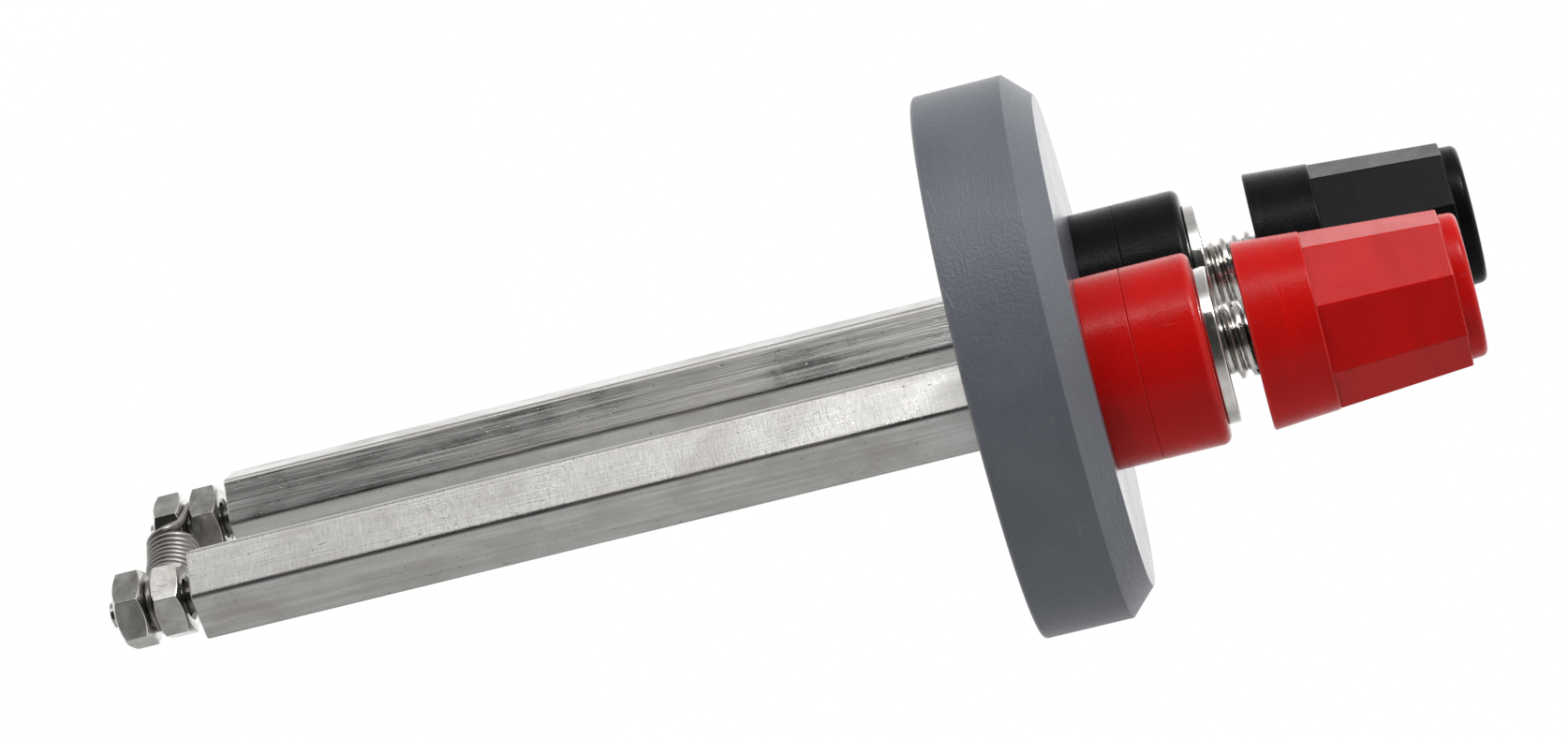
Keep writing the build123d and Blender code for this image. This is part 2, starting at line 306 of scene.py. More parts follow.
def place(tree, scale, shift=(0, 0, 0)):
    """The piece's own coordinates, multiplied by scale in cycles per millimetre."""
    coords = node(tree, "ShaderNodeTexCoord").outputs["Object"]
    per_metre = tuple(s / MM for s in scale)
    return node(tree, "ShaderNodeMapping", {"Vector": coords, "Scale": per_metre, "Location": shift}
                ).outputs["Vector"]


def grain(tree, scale, detail, roughness=0.55, distortion=0.0, shift=(0, 0, 0)):
    """Noise between 0 and 1."""
    return node(tree, "ShaderNodeTexNoise", {
        "Vector": place(tree, scale, shift), "Scale": 1.0, "Detail": detail,
        "Roughness": roughness, "Distortion": distortion}).outputs["Fac"]


def spread(tree, value, low, high, to_low=0.0, to_high=1.0):
    """Stretches low..high to to_low..to_high, with the ends held."""
    return node(tree, "ShaderNodeMapRange", {
        "Value": value, "From Min": low, "From Max": high,
        "To Min": to_low, "To Max": to_high}, clamp=True).outputs["Result"]


def math_node(tree, operation, a, b=0.0):
    made = node(tree, "ShaderNodeMath", operation=operation)
    for index, value in enumerate((a, b)):
        if isinstance(value, bpy.types.NodeSocket):
            tree.links.new(value, made.inputs[index])
        else:
            made.inputs[index].default_value = value
    return made.outputs[0]


def tint(tree, factor, first, second):
    """Colour mix; first where the factor is 0."""
    made = node(tree, "ShaderNodeMix", data_type="RGBA")
    for key, value in ((0, factor), (6, first), (7, second)):
        if isinstance(value, bpy.types.NodeSocket):
            tree.links.new(value, made.inputs[key])
        else:
            made.inputs[key].default_value = value
    return made.outputs[2]


def scratches(tree, scale, width, amount):
    """Thin lines along the least scaled direction; a higher amount leaves fewer of them."""
    cells = node(tree, "ShaderNodeTexVoronoi", {
        "Vector": place(tree, scale), "Scale": 1.0, "Randomness": 1.0},
        feature="DISTANCE_TO_EDGE").outputs["Distance"]
    line = spread(tree, cells, 0.0, width, 1.0, 0.0)
    keep = spread(tree, grain(tree, tuple(s * 0.4 for s in scale), 2.0), amount, amount + 0.05)
    return math_node(tree, "MULTIPLY", line, keep)


def attribute(tree, name):
    return node(tree, "ShaderNodeAttribute", attribute_name=name).outputs["Fac"]


def bump(tree, shader, height, distance, strength):
    """Surface relief; distance is in millimetres."""
    made = node(tree, "ShaderNodeBump", {
        "Height": height, "Distance": distance * MM, "Strength": strength})
    tree.links.new(made.outputs["Normal"], shader.inputs["Normal"])


def grey(level, tone=(1.0, 1.0, 1.0)):
    """A grey of that level, tinted by tone."""
    return (level * tone[0], level * tone[1], level * tone[2], 1.0)


def lid_look():
    """Turned rigid plastic, dull blue-grey with a satin, speckled skin."""
    material, tree, shader = look("lid_plastic", IOR=1.5)
    worn = spread(tree, attribute(tree, "wear_and_shade"), 0.1, 1.0)
    speckle = grain(tree, (3.6, 3.6, 3.6), 3.0, 0.65)
    cloud = grain(tree, (0.09, 0.09, 0.14), 4.0, 0.6, 0.4)
    turning = grain(tree, (0.35, 0.35, 7.0), 3.0, 0.5)
    scuff = scratches(tree, (0.09, 0.09, 1.1), 0.03, 0.6)
    coords = node(tree, "ShaderNodeTexCoord").outputs["Object"]
    height_mm = node(tree, "ShaderNodeSeparateXYZ", {"Vector": coords}).outputs["Z"]
    facing = spread(tree, height_mm, (LID_TOP - 0.06) * MM, (LID_TOP - 0.01) * MM)
    base = tint(tree, spread(tree, cloud, 0.3, 0.7), grey(0.085, (0.9, 1.0, 1.2)),
                grey(0.112, (0.92, 1.0, 1.17)))
    base = tint(tree, spread(tree, speckle, 0.55, 0.75, 0.0, 0.45), base,
                grey(0.14, (0.97, 1.0, 1.05)))
    base = tint(tree, math_node(tree, "MULTIPLY", worn, 0.5), base, grey(0.2, (0.98, 1.0, 1.03)))
    base = tint(tree, math_node(tree, "MULTIPLY", scuff, 0.25), base, grey(0.2))
    tree.links.new(base, shader.inputs["Base Color"])
    rough = spread(tree, math_node(tree, "ADD", cloud, math_node(tree, "MULTIPLY", speckle, 0.5)),
                   0.5, 1.0, 0.34, 0.46)
    rough = math_node(tree, "SUBTRACT", rough, math_node(tree, "MULTIPLY", facing, 0.2))
    tree.links.new(rough, shader.inputs["Roughness"])
    height = math_node(tree, "ADD", speckle, math_node(tree, "MULTIPLY", turning, 0.5))
    height = math_node(tree, "SUBTRACT", height, math_node(tree, "MULTIPLY", scuff, 0.3))
    bump(tree, shader, height, 0.07, 1.0)
    return material


def plastic_look(name, base, deep, dust, rough, gloss):
    """Glossy moulded plastic with faint flow marks, dust and handling scratches."""
    material, tree, shader = look(name, IOR=1.46, Specular_IOR_Level=gloss)
    flow = grain(tree, (0.12, 0.12, 0.3), 3.0, 0.55, 0.6)
    fine = grain(tree, (4.5, 4.5, 4.5), 2.0, 0.6)
    marks = scratches(tree, (1.6, 1.6, 0.07), 0.02, 0.6)
    specks = spread(tree, grain(tree, (4.2, 4.2, 4.2), 1.0, 0.5, shift=(3, 1, 7)), 0.72, 0.78)
    worn = spread(tree, attribute(tree, "wear_and_shade"), 0.3, 1.0, 0.0, 0.35)
    colour = tint(tree, spread(tree, flow, 0.3, 0.7), base, deep)
    colour = tint(tree, worn, colour, dust)
    colour = tint(tree, math_node(tree, "MULTIPLY", math_node(tree, "MAXIMUM", specks, marks), 0.14),
                  colour, dust)
    tree.links.new(colour, shader.inputs["Base Color"])
    uneven = math_node(tree, "ADD", math_node(tree, "MULTIPLY", fine, 0.5), flow)
    tree.links.new(spread(tree, uneven, 0.5, 1.0, rough, rough + 0.12), shader.inputs["Roughness"])
    height = math_node(tree, "ADD", math_node(tree, "MULTIPLY", fine, 0.6),
                       math_node(tree, "MULTIPLY", flow, 2.0))
    height = math_node(tree, "SUBTRACT", height, math_node(tree, "MULTIPLY", marks, 0.3))
    bump(tree, shader, height, 0.032, 0.9)
    return material


def bar_look():
    """Drawn and milled steel: streaks along some flats, cutter lines across others."""
    material, tree, shader = look("bar_steel", Metallic=1.0)
    cross = attribute(tree, "cross")
    along = grain(tree, (2.2, 2.2, 0.035), 5.0, 0.62)
    fine_along = grain(tree, (9.0, 9.0, 0.12), 3.0, 0.6, shift=(5, 2, 1))
    cutter = grain(tree, (0.9, 0.9, 7.0), 5.0, 0.7, 0.2)
    lines = math_node(tree, "ADD", math_node(tree, "MULTIPLY", cutter, 0.6),
                      math_node(tree, "MULTIPLY", fine_along, 0.4))
    cloud = grain(tree, (0.25, 0.25, 0.16), 5.0, 0.6, 0.5)
    pits = spread(tree, grain(tree, (3.6, 3.6, 2.2), 2.0, 0.5, shift=(2, 8, 4)), 0.68, 0.76)
    worn = spread(tree, attribute(tree, "wear_and_shade"), 0.1, 1.0)
    streak = math_node(tree, "ADD", math_node(tree, "MULTIPLY", along, 0.7),
                       math_node(tree, "MULTIPLY", fine_along, 0.3))
    marks = node(tree, "ShaderNodeMix", {0: cross, 2: streak, 3: lines}).outputs[0]
    colour = tint(tree, spread(tree, marks, 0.34, 0.66), grey(0.4, (1.0, 0.975, 0.935)),
                  grey(0.66, (1.0, 0.985, 0.96)))
    colour = tint(tree, spread(tree, cloud, 0.5, 0.72, 0.0, 0.55), colour,
                  grey(0.38, (1.0, 0.94, 0.86)))
    colour = tint(tree, math_node(tree, "MULTIPLY", pits, 0.5), colour, grey(0.12, (1.0, 0.9, 0.8)))
    colour = tint(tree, math_node(tree, "MULTIPLY", worn, 0.3), colour, grey(0.6))
    tree.links.new(colour, shader.inputs["Base Color"])
    uneven = math_node(tree, "ADD", math_node(tree, "MULTIPLY", marks, 0.8), cloud)
    rough = spread(tree, uneven, 0.6, 1.15, 0.2, 0.42)
    tree.links.new(rough, shader.inputs["Roughness"])
    height = math_node(tree, "SUBTRACT", marks, math_node(tree, "MULTIPLY", pits, 0.4))
    bump(tree, shader, height, 0.04, 0.8)
    return material


def metal_look(name, dark, light, low, high, scale, depth):
    """Turned or rolled metal with fine marks round it, worn lighter edges and painted shade darkening its
    concave corners.
    """
    material, tree, shader = look(name, Metallic=1.0)
    wear_and_shade = attribute(tree, "wear_and_shade")
    fine = grain(tree, scale, 4.0, 0.6)
    cloud = grain(tree, (0.6, 0.6, 0.6), 4.0, 0.6, 0.5)
    marks = scratches(tree, (1.6, 1.6, 0.8), 0.03, 0.54)
    # Painted shade: concave corners, hollows and thread roots are darkened towards three tenths of the dark
    # colour, as if shade fell there.
    corner_shade = spread(tree, wear_and_shade, -0.8, -0.02, 0.9, 0.0)
    colour = tint(tree, spread(tree, cloud, 0.3, 0.7), dark, light)
    colour = tint(tree, corner_shade, colour, tuple(c * 0.3 for c in dark[:3]) + (1.0,))
    colour = tint(tree, spread(tree, wear_and_shade, 0.2, 1.0, 0.0, 0.6), colour,
                  tuple(min(1.0, c * 1.2) for c in light[:3]) + (1.0,))
    tree.links.new(colour, shader.inputs["Base Color"])
    uneven = math_node(tree, "ADD", fine, cloud)
    tree.links.new(spread(tree, uneven, 0.7, 1.3, low, high), shader.inputs["Roughness"])
    height = math_node(tree, "SUBTRACT", fine, math_node(tree, "MULTIPLY", marks, 0.5))
    bump(tree, shader, height, depth, 0.6)
    return material


LID_PLASTIC = lid_look()
RED_PLASTIC = plastic_look("red_plastic", (0.48, 0.005, 0.004, 1), (0.40, 0.004, 0.003, 1),
                           (0.66, 0.08, 0.07, 1), 0.2, 0.16)
BLACK_PLASTIC = plastic_look("black_plastic", (0.003, 0.0032, 0.0035, 1), (0.006, 0.006, 0.0065, 1),
                             (0.04, 0.04, 0.043, 1), 0.2, 0.08)
NICKEL = metal_look("nickel_plate", grey(0.62, (1.0, 0.97, 0.92)), grey(0.8, (1.0, 0.98, 0.95)),
                    0.1, 0.24, (1.2, 1.2, 6.0), 0.01)
BAR_STEEL = bar_look()
STUD_STEEL = metal_look("stud_steel", grey(0.34, (1.0, 0.96, 0.9)), grey(0.52, (1.0, 0.97, 0.93)),
                        0.2, 0.4, (2.0, 2.0, 5.0), 0.012)
NUT_STEEL = metal_look("nut_steel", grey(0.34, (1.0, 0.95, 0.88)), grey(0.62, (1.0, 0.99, 0.96)),
                       0.14, 0.32, (1.4, 1.4, 1.4), 0.014)
COIL_WIRE = metal_look("coil_wire", grey(0.16, (1.0, 0.95, 0.88)), grey(0.3, (1.0, 0.96, 0.92)),
                       0.3, 0.48, (3.0, 3.0, 3.0), 0.01)


# ---- lid and collars -------------------------------------------------------

def plain_cylinder(name, x, radius, low, high, count=64):
    angles = even_angles(count)
    rings = [ring(x, z, r, angles) for r, z in ((0, low), (radius, low), (radius, high), (0, high))]
    return make_object(name, *skin(rings, False))


def make_lid():
    chamfer, foot, edge, middle = 2.1, 0.3, 0.12, 9
    corners = [
        (0, 0, 0), (middle, 0, 0), (LID_RADIUS, 0, foot), (LID_RADIUS, LID_TOP - chamfer, edge),
        (LID_RADIUS - chamfer, LID_TOP, edge), (middle, LID_TOP, 0), (0, LID_TOP, 0),
    ]
    angles = even_angles(256)
    lid = make_object("Lid", *skin([ring(0, z, r, angles) for r, z in rounded(corners)], False))
    holes = [plain_cylinder("hole", side * POST_X, POST_BORE, -1, LID_TOP + 1) for side in (1, -1)]
    cut(lid, holes)
    declare(lid, "holder", "grey_lid_plastic", LID_PLASTIC, "lid")


def make_collar(name, x, low, high, rounding, slot, material, part):
    """Insulating ring; the upper one's lower edge is rounded more, which shows as the seam."""
    edge = 0.05
    foot = 0.1 if low == COLLAR_SPLIT else edge
    corners = [
        (POST_BORE, low, edge), (COLLAR_RADIUS, low, foot),
        (COLLAR_RADIUS, high, rounding), (POST_BORE, high, edge),
    ]
    angles = even_angles(160)
    rings = [ring(x, z, r, angles) for r, z in rounded(corners, 5)]
    declare(make_object(name, *skin(rings, True)), "holder", slot, material, part)


# ---- binding posts ---------------------------------------------------------

def thread(angle, z, minor, major, pitch, fade):
    """Radius of a right-hand screw thread; fade 0 leaves the bare core."""
    root, flank = 0.22, 0.46
    phase = (z / pitch - angle / TAU) % 1
    crest = min(1, max(0, (abs(phase - 0.5) * 2 - root) / flank))
    crest = crest * crest * (3 - 2 * crest) * 0.5 + crest * 0.5
    return minor + (major - minor) * crest * fade


def thread_rings(x, low, high, angles, minor, major, pitch, limits, per_turn=16):
    """Rings along a threaded length; limits(z) is the largest radius allowed there."""
    count = max(2, round((high - low) / pitch * per_turn))
    rings = []
    for i in range(count + 1):
        z = low + (high - low) * i / count
        fade = min(1, abs(z - low) / (0.7 * pitch))
        rings.append(ring(x, z, lambda a: min(thread(a, z, minor, major, pitch, fade), limits(z)), angles))
    return rings


def make_post(name, x, part):
    """Rear thread, flange and threaded stem, with a socket in its end and a cross hole."""
    angles = even_angles(112)
    rear, rear_minor, rear_end, rear_pitch = REAR_THREAD - 0.01, 1.6, 1.5, 0.7
    stem_minor = 2.42
    rings = [ring(x, POST_BOTTOM, 0, angles), ring(x, POST_BOTTOM, rear_end, angles)]
    rings += thread_rings(x, POST_BOTTOM + 0.02, -0.4, angles, rear_minor, rear, rear_pitch,
                          lambda z: rear_end + (z - POST_BOTTOM), 12)
    rings += [ring(x, z, rear, angles) for z in (-0.3, COLLAR_TOP)]
    corners = [
        (rear, COLLAR_TOP, 0), (FLANGE_RADIUS, COLLAR_TOP, 0.18),
        (FLANGE_RADIUS, FLANGE_TOP, 0.2), (STEM_RADIUS - 0.35, FLANGE_TOP, 0),
    ]
    rings += [ring(x, z, r, angles) for r, z in rounded(corners)[1:]]
    rings += thread_rings(x, FLANGE_TOP + 0.02, STEM_TOP - 0.02, angles, stem_minor,
                          STEM_RADIUS - 0.02, STEM_PITCH, lambda z: STEM_RADIUS - 0.5 + (STEM_TOP - z))
    rings += [
        ring(x, STEM_TOP, STEM_RADIUS - 0.55, angles), ring(x, STEM_TOP, SOCKET_RADIUS + 0.3, angles),
        ring(x, STEM_TOP - 0.3, SOCKET_RADIUS, angles), ring(x, SOCKET_FLOOR, SOCKET_RADIUS, angles),
        ring(x, SOCKET_FLOOR - 0.9, 0, angles),
    ]
    post = make_object(name, *skin(rings, False))
    tool = plain_cylinder("tool", 0, CROSS_HOLE_RADIUS, -5, 5, 48)
    for vert in tool.data.vertices:
        px, py, pz = vert.co
        vert.co = (px + x * MM, pz, py + CROSS_HOLE_Z * MM)
    cut(post, [tool])
    declare(post, "holder", "nickel_plate", NICKEL, part)


def cone_radius(height):
    """Radius of the tapered cap at a height above its lower face."""
    return CAP_BASE_RADIUS - height * CAP_TAPER


def make_cap(name, x, base, body, slot, material, part):
    """Tapered cap with a round band, an eight-sided grip and a round lip."""
    corner, edge, foot, end_round = 0.22, 0.16, 0.2, 0.5
    flat = math.cos(math.pi / CAP_SIDES)
    middle_apothem = 6.3
    angles = corner_angles(CAP_SIDES, CAP_VERTEX, corner_spread(CAP_SIDES, middle_apothem, corner), 9)

    def grip(height, inset):
        apothem = cone_radius(height) * flat
        return ring(x, base + height, lambda a: polygon_radius(
            a, CAP_SIDES, CAP_VERTEX, apothem, corner) - inset, angles)

    def lip(height, inset):
        return ring(x, base + height, cone_radius(height) * flat - inset, angles)

    def soft(height):
        """(height, inset) points up to a rounded edge at that height."""
        turns = [math.radians(90 * k / 4) for k in range(5)]
        arc = [(height - edge * (1 - math.sin(t)), edge * (1 - math.cos(t))) for t in turns]
        return [(height - edge * 1.3, 0.0)] + arc

    rings = [ring(x, base, CAP_BASE_RADIUS - 0.3, angles)]
    for k in range(5):
        turn = math.radians(90 * k / 4)
        rings.append(ring(x, base + foot * (1 - math.cos(turn)),
                          cone_radius(0) - foot * (1 - math.sin(turn)), angles))
    rings.append(ring(x, base + 0.35, cone_radius(0.35), angles))
    for height, inset in soft(CAP_BAND):
        rings.append(ring(x, base + height, cone_radius(height) - inset, angles))
    rings.append(ring(x, base + CAP_BAND, lambda a: min(
        cone_radius(CAP_BAND) - edge - 0.02,
        polygon_radius(a, CAP_SIDES, CAP_VERTEX, cone_radius(CAP_BAND) * flat, corner) + 0.03), angles))
    rings += [grip(CAP_BAND + 0.01, 0.01), grip(CAP_BAND + 0.12, 0.0)]
    rings += [grip(height, inset) for height, inset in soft(CAP_GRIP_TOP)]
    rings += [lip(CAP_GRIP_TOP, edge + 0.03), lip(CAP_GRIP_TOP + 0.01, 0.06), lip(CAP_GRIP_TOP + 0.1, 0.05)]
    for k in range(9):
        turn = math.radians(90 * k / 8)
        height = CAP_LENGTH - end_round * (1 - math.sin(turn))
        rings.append(lip(height, 0.05 + end_round * (1 - math.cos(turn))))
    chamfer, mouth_floor = 0.25, CAP_LENGTH - CAP_MOUTH_DEPTH
    recess, recess_top = INSERT_RADIUS + INSERT_CLEARANCE, INSERT_HEIGHT + INSERT_CLEARANCE
    rim, rim_top = INSERT_FLANGE_RADIUS + INSERT_CLEARANCE, INSERT_FLANGE_HEIGHT + INSERT_CLEARANCE
    inner = [
        (CAP_MOUTH_RADIUS + chamfer, CAP_LENGTH), (CAP_MOUTH_RADIUS, CAP_LENGTH - chamfer),
        (CAP_MOUTH_RADIUS, mouth_floor), (CAP_BORE, mouth_floor), (CAP_BORE, recess_top),
        (recess, recess_top), (recess, rim_top), (rim, rim_top), (rim, 0.1), (rim + 0.1, 0.0),
    ]
    rings += [ring(x, base + height, r, angles) for r, height in inner]
    declare(make_object(name, *skin(rings, True)), body, slot, material, part)


def make_insert(name, x, base, body, part):
    """Threaded metal sleeve inside a cap, with a flange at its foot."""
    angles = even_angles(112)
    bore, thread_depth, chamfer = STEM_RADIUS + 0.05, 0.4, 0.3
    corners = [
        (bore + chamfer, 0, 0), (INSERT_FLANGE_RADIUS, 0, 0.08),
        (INSERT_FLANGE_RADIUS, INSERT_FLANGE_HEIGHT, 0.05), (INSERT_RADIUS, INSERT_FLANGE_HEIGHT, 0),
        (INSERT_RADIUS, INSERT_HEIGHT, 0.2), (bore + chamfer, INSERT_HEIGHT, 0),
    ]
    rings = [ring(x, base + z, r, angles) for r, z in rounded(corners)]
    rings += thread_rings(x, base + INSERT_HEIGHT - chamfer, base + chamfer, angles, bore,
                          bore + thread_depth, STEM_PITCH, lambda z: bore + thread_depth)
    declare(make_object(name, *skin(rings, True)), body, "nickel_plate", NICKEL, part)


# ---- bars, studs and nuts --------------------------------------------------

def make_bar(name, x, vertex, crossing, part):
    """Hexagonal bar; crossing says how much of each flat's marking runs across it."""
    corner, end, hold = 0.5, 0.1, 0.05
    tip_depth, rear_depth, tip_chamfer = 9, 10, 0.3
    apothem = BAR_FLATS / 2
    angles = corner_angles(6, vertex, corner_spread(6, apothem, corner), 5)

    def hexagon(z, inset=0.0):
        return ring(x, z, lambda a: polygon_radius(a, 6, vertex, apothem, corner) - inset, angles)

    rings = [ring(x, BAR_BOTTOM + tip_depth, 0, angles),
             ring(x, BAR_BOTTOM + tip_depth - 0.6, BAR_TIP_BORE, angles),
             ring(x, BAR_BOTTOM + tip_chamfer, BAR_TIP_BORE, angles),
             ring(x, BAR_BOTTOM, BAR_TIP_BORE + tip_chamfer, angles),
             hexagon(BAR_BOTTOM, end + hold), hexagon(BAR_BOTTOM, end),
             hexagon(BAR_BOTTOM + end), hexagon(BAR_BOTTOM + end + hold)]
    rings += [hexagon(BAR_BOTTOM * k / 12) for k in range(11, 0, -1)]
    rings += [hexagon(-hold), hexagon(0.0, 0.04), ring(x, 0, 2.3, angles),
              ring(x, -0.3, BAR_REAR_BORE, angles), ring(x, 0.4 - rear_depth, BAR_REAR_BORE, angles),
              ring(x, -rear_depth, 0, angles)]
    bar = make_object(name, *skin(rings, False), sharp=28.0)
    values = []
    for face in bar.data.polygons:
        turn = math.degrees(math.atan2(face.center.y, face.center.x - x * MM)) - vertex
        values.append(crossing[int(turn // 60) % 6])
    cross = bar.data.attributes.new("cross", "FLOAT", "FACE")
    cross.data.foreach_set("value", values)
    declare(bar, "holder", "bar_steel", BAR_STEEL, part)


def make_stud(name, x, part):
    """Threaded stud in a bar's lower end, with a domed tip."""
    angles = even_angles(64)
    major, minor, dome, tip = 1.49, 1.2, 0.6, 0.9
    rings = [ring(x, STUD_TOP, 0, angles), ring(x, STUD_TOP, minor, angles),
             ring(x, STUD_TOP - 0.3, major, angles), ring(x, BAR_BOTTOM + 0.6, major, angles)]

    def limit(z):
        depth = min(dome, z - STUD_END)
        return tip + math.sqrt(max(0, dome ** 2 - (dome - depth) ** 2))

    rings += thread_rings(x, BAR_BOTTOM + 0.5, STUD_END + 0.01, angles, minor, major, STUD_PITCH, limit, 14)
    rings += [ring(x, STUD_END, tip - 0.05, angles), ring(x, STUD_END, 0, angles)]
    declare(make_object(name, *skin(rings, False)), "holder", "stud_steel", STUD_STEEL, part)


def make_nut(name, x, low, high, vertex, body, part):
    """Hexagon nut with its corners turned off at both faces."""
    apothem, corner, blend = NUT_FLATS / 2, 0.07, 0.05
    bore, thread_depth, countersink = 1.54, 0.22, 1.85
    chamfered = 0.42
    angles = corner_angles(6, vertex, 2 * corner_spread(6, apothem, corner), 21)
    slope = math.tan(math.radians(30))

    def outline(z):
        turned = NUT_FACE + min(z - low, high - z) / slope

        def radius(angle):
            side = polygon_radius(angle, 6, vertex, apothem, corner)
            gap = max(blend - abs(side - turned), 0) / blend
            return min(side, turned) - gap * gap * blend / 4

        return radius

    heights = [low + chamfered * k / 14 for k in range(15)]
    heights += [low + chamfered + (high - low - 2 * chamfered) * k / 4 for k in (1, 2, 3)]
    heights += [high - chamfered * k / 14 for k in range(14, -1, -1)]
    rings = [ring(x, low, countersink, angles), ring(x, low, NUT_FACE - 0.1, angles)]
    rings += [ring(x, z, outline(z), angles) for z in heights]
    rings += [ring(x, high, NUT_FACE - 0.1, angles), ring(x, high, countersink, angles)]
    rings += thread_rings(x, high - 0.25, low + 0.25, angles, bore, bore + thread_depth, STUD_PITCH,
                          lambda z: bore + thread_depth, 10)
    declare(make_object(name, *skin(rings, True)), body, "nut_steel", NUT_STEEL, part)


# ---- wire coil -------------------------------------------------------------

def tube(points, radius, count):
    """Rings of a round wire along points, carried without twist, with a pole at each end."""
    rings, normal = [], Vector((0, 0, 1))
    for i, point in enumerate(points):
        ahead = (points[min(i + 1, len(points) - 1)] - points[max(i - 1, 0)]).normalized()
        normal = (normal - ahead * normal.dot(ahead)).normalized()
        across = ahead.cross(normal)
        rings.append([tuple(point + radius * (normal * math.cos(a) + across * math.sin(a)))
                      for a in even_angles(count)])
    first, last = [tuple(points[0])], [tuple(points[-1])]
    return [first] + rings + [last]


def lead_points(side, clamp_z, start, wrap):
    """Straight run from the coil's end, then a hook round the stud; wrap's sign is its turn."""
    hook_steps, straight_steps = 28, 8
    axis = Vector((POST_X, 0))
    away = Vector(start) - axis
    bearing = math.atan2(away.y, away.x)
    touch = bearing + math.copysign(math.acos(HOOK_RADIUS / away.length), wrap)
    hook = []
    for k in range(hook_steps + 1):
        turn = touch + math.radians(wrap) * k / hook_steps
        hook.append(axis + HOOK_RADIUS * Vector((math.cos(turn), math.sin(turn))))
    straight = [Vector(start).lerp(hook[0], k / straight_steps) for k in range(straight_steps)]
    return [Vector((side * p.x, p.y, clamp_z)) for p in straight + hook]


def join(first, second):
    """Points of a smooth bend from the end of one run to the start of the next."""
    pull, steps = 0.45, 10
    p0, p3 = first[-1], second[0]
    reach = (p3 - p0).length
    p1 = p0 + (first[-1] - first[-2]).normalized() * reach * pull
    p2 = p3 - (second[1] - second[0]).normalized() * reach * pull
    bend = []
    for k in range(1, steps):
        t = k / steps
        u = 1 - t
        bend.append(p0 * u ** 3 + p1 * 3 * u * u * t + p2 * 3 * u * t * t + p3 * t ** 3)
    return bend


def tilted(along, across):
    """Turns a point along and across the coil's chord into the holder's x and y."""
    tilt = math.radians(COIL_TILT)
    return (along * math.cos(tilt) - across * math.sin(tilt),
            along * math.sin(tilt) + across * math.cos(tilt) + COIL_SIDE_SHIFT)


def make_coil():
    """Bowed coil of slightly uneven turns between the two clamps, with a hooked lead at each end."""
    random.seed(4)
    clamp_z = (INNER_NUT_LOW + OUTER_NUT_HIGH) / 2
    turn_radius = COIL_RADIUS - WIRE
    bow = math.radians(COIL_BOW)
    half = POST_X - NUT_FLATS / math.sqrt(3) - COIL_END_GAP
    bow_radius = half / math.sin(bow)
    offset = math.sqrt(turn_radius ** 2 - COIL_DROP ** 2)
    turns, per_turn, uneven, crowding = 17, 30, 0.035, 0.35
    start_phase = math.atan2(COIL_DROP, -offset)
    sweep = TAU * turns + math.pi - 2 * start_phase
    coil = []
    wobble = [random.uniform(-uneven, uneven) for _ in range(turns + 2)]
    total = turns * per_turn
    for i in range(total + 1):
        along = i / total
        wave = math.sin(TAU * 2.3 * along + 0.6) * math.sin(math.pi * along) * 0.6
        spot = along + crowding / turns * wave
        angle = bow * (1 - 2 * spot)
        index = int(along * turns)
        part = along * turns - index
        radius = turn_radius + wobble[index] * (1 - part) + wobble[index + 1] * part - uneven
        phase = start_phase + sweep * along
        reach = bow_radius + radius * math.cos(phase)
        x, y = tilted(-math.sin(angle) * reach, math.cos(angle) * reach - bow_radius * math.cos(bow))
        coil.append(Vector((x, y, clamp_z - COIL_DROP + radius * math.sin(phase))))
    starts = {s: tilted(s * (half + s * offset * math.sin(bow)), s * offset * math.cos(bow))
              for s in (1, -1)}
    right = lead_points(1, clamp_z, starts[1], -HOOK_WRAP)
    left = lead_points(-1, clamp_z, (-starts[-1][0], starts[-1][1]), HOOK_WRAP)
    trim = 5
    left_run, coil_run, right_run = left[:2:-1], coil[trim:-trim], right[3:]
    path = left_run + join(left_run, coil_run) + coil_run + join(coil_run, right_run) + right_run
    declare(make_object("Wire_coil", *skin(tube(path, WIRE, 14), False)), "holder", "coil_wire",
            COIL_WIRE, "wire_coil")


# ---- putting it together ---------------------------------------------------

def make_side(colour, side, plastic, slot, bar_vertex, crossing, nut_vertices):
    x = side * POST_X
    title = colour.capitalize()
    make_collar(f"{title}_lower_collar", x, LID_TOP, COLLAR_SPLIT, 0.1, slot, plastic,
                f"{colour}_lower_collar")
    make_collar(f"{title}_upper_collar", x, COLLAR_SPLIT, COLLAR_TOP, 0.7, slot, plastic,
                f"{colour}_upper_collar")
    make_post(f"{title}_post", x, f"{colour}_post")
    base = box_mm(f"{colour}_cap")[0].z
    make_cap(f"{title}_cap", x, base, f"{colour}_cap_screw", slot, plastic, f"{colour}_cap")
    make_insert(f"{title}_cap_insert", x, base, f"{colour}_cap_lifter", f"{colour}_cap_insert")
    make_bar(f"{title}_side_bar", x, bar_vertex, crossing, f"{colour}_side_bar")
    make_stud(f"{title}_side_tip_stud", x, f"{colour}_side_tip_stud")
    make_nut(f"{title}_side_inner_nut", x, INNER_NUT_LOW, INNER_NUT_HIGH, nut_vertices[0],
             f"{colour}_inner_nut", f"{colour}_side_inner_nut")
    make_nut(f"{title}_side_outer_nut", x, OUTER_NUT_LOW, OUTER_NUT_HIGH, nut_vertices[1],
             f"{colour}_outer_nut", f"{colour}_side_outer_nut")


make_lid()
make_side("red", 1, RED_PLASTIC, "red_plastic", bar_vertex=45,
          crossing=(0.15, 0.8, 0.2, 0.9, 1.0, 0.15), nut_vertices=(38, 28))
make_side("black", -1, BLACK_PLASTIC, "black_plastic", bar_vertex=52,
          crossing=(0.1, 0.8, 0.2, 0.2, 0.0, 0.35), nut_vertices=(28, 15))
make_coil()


# ---- floor, light and camera -----------------------------------------------

